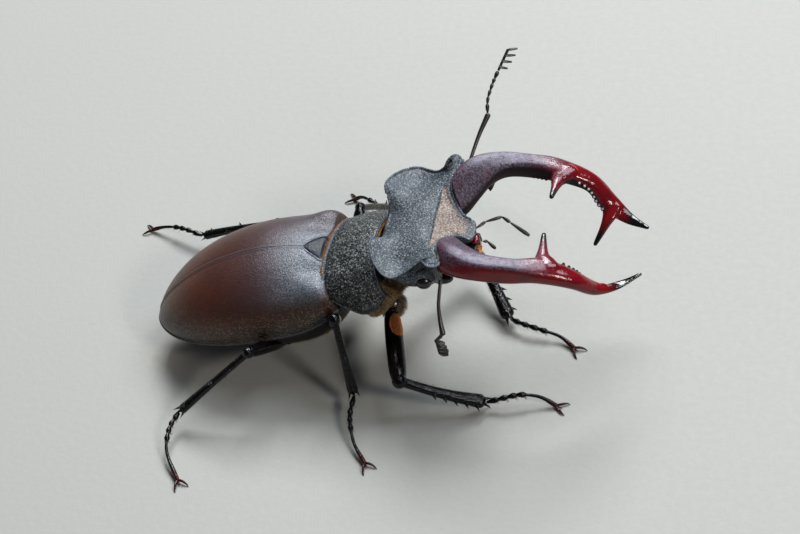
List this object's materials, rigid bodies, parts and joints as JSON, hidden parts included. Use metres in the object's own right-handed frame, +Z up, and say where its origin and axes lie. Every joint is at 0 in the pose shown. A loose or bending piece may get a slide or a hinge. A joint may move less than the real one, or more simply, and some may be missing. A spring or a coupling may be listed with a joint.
{
  "type": "male stag beetle",
  "caption": "Still, life-size male stag beetle with raised head, spread antler-like mandibles and walking legs standing on the floor.",
  "frame": {"origin": "on the floor under the middle of the beetle's outline", "axes": "+X forwards, to the mandible tips; +Y to the beetle's left; +Z up from the floor"},
  "size_m": [0.0864, 0.0608, 0.0347],
  "materials": {
    "elytra_shell": "satin chestnut-brown wing case, greyer at the base, fine leathery punctures",
    "black_shell": "densely punctured satin black cuticle",
    "head_shell": "granular dull black-grey cuticle with a tan downy front",
    "mandible_red": "polished dark red horn, greyer and finely granular at the base",
    "leg_black": "glossy black cuticle with a red-brown cast",
    "eye_black": "very glossy black, finely faceted",
    "feeler_brown": "satin dark brown cuticle",
    "neck_membrane": "dull brown membrane",
    "golden_hair": "fine golden-orange bristles"
  },
  "bodies": {
    "root": {"elytron_left": "elytra_shell", "elytron_right": "elytra_shell", "scutellum": "black_shell", "hind_thorax": "black_shell", "abdomen": "black_shell", "pronotum": "black_shell", "prothorax_underside": "black_shell", "neck": "neck_membrane", "head": "head_shell", "eye_left": "eye_black", "eye_right": "eye_black", "mandible_left": "mandible_red", "mandible_right": "mandible_red", "labrum": "mandible_red", "mouthparts": "feeler_brown", "antenna_scape_left": "feeler_brown", "antenna_stalk_left": "feeler_brown", "antenna_club_left": "feeler_brown", "maxillary_palp_left": "feeler_brown", "labial_palp_left": "feeler_brown", "antenna_scape_right": "feeler_brown", "antenna_stalk_right": "feeler_brown", "antenna_club_right": "feeler_brown", "maxillary_palp_right": "feeler_brown", "labial_palp_right": "feeler_brown", "coxa_fore_right": "leg_black", "femur_fore_right": "leg_black", "tibia_fore_right": "leg_black", "tarsus_fore_right": "leg_black", "coxa_fore_left": "leg_black", "femur_fore_left": "leg_black", "tibia_fore_left": "leg_black", "tarsus_fore_left": "leg_black", "coxa_mid_right": "leg_black", "femur_mid_right": "leg_black", "tibia_mid_right": "leg_black", "tarsus_mid_right": "leg_black", "coxa_mid_left": "leg_black", "femur_mid_left": "leg_black", "tibia_mid_left": "leg_black", "tarsus_mid_left": "leg_black", "coxa_hind_right": "leg_black", "femur_hind_right": "leg_black", "tibia_hind_right": "leg_black", "tarsus_hind_right": "leg_black", "coxa_hind_left": "leg_black", "femur_hind_left": "leg_black", "tibia_hind_left": "leg_black", "tarsus_hind_left": "leg_black"}
  },
  "joints": []
}
